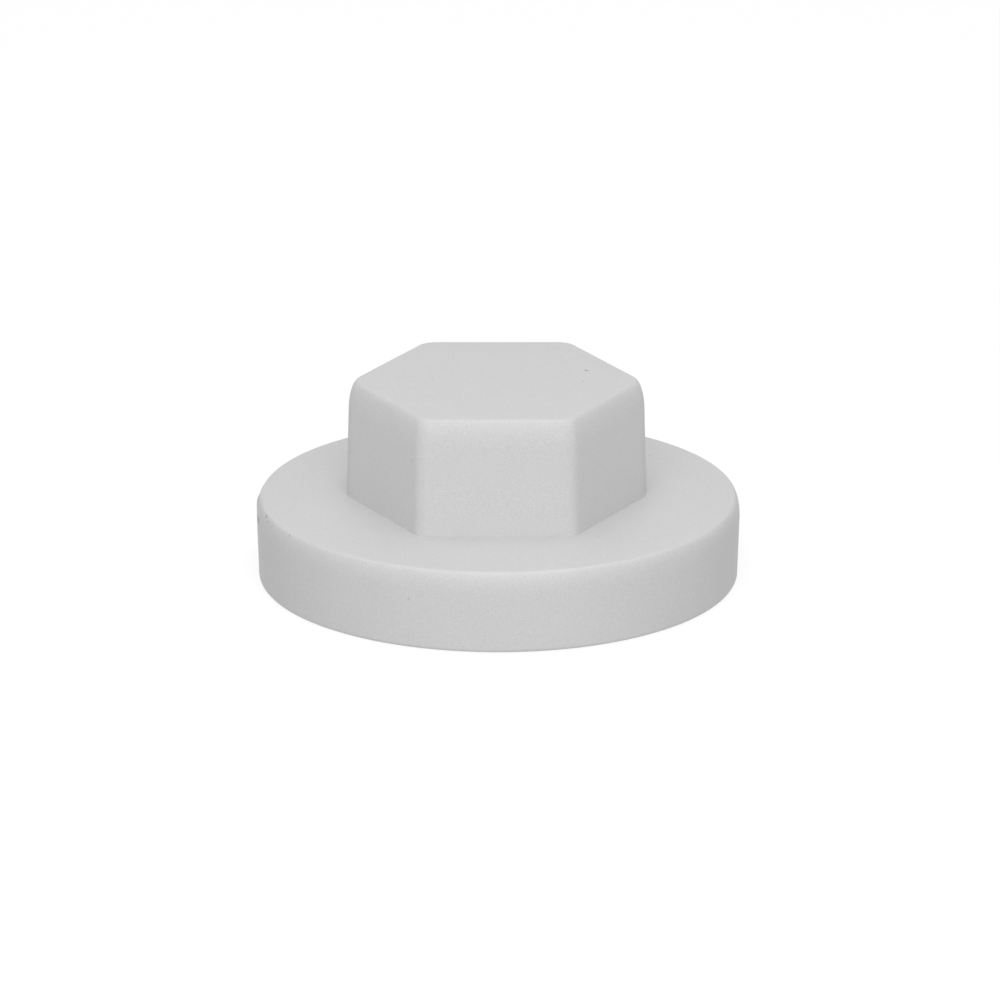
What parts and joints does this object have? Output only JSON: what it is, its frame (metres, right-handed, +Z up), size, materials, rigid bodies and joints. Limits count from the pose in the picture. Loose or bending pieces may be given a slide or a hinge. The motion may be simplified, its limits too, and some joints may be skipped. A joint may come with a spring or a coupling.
{
  "type": "screw cover cap",
  "caption": "Light grey push-on plastic cap: a hollow hexagonal dome that grips a roofing screw's head, on a round flange with a short skirt that hides the washer.",
  "frame": {"origin": "centre of the plane that the rim of the skirt rests on", "axes": "+Z up the cap's axis, through the dome; two flats of the hexagon face -Y and +Y, and two corners point to -X and +X"},
  "size_m": [0.019, 0.019, 0.0081],
  "materials": {
    "cap_plastic": "fine matt moulded"
  },
  "bodies": {
    "root": {"cover_cap": "cap_plastic"}
  },
  "joints": []
}
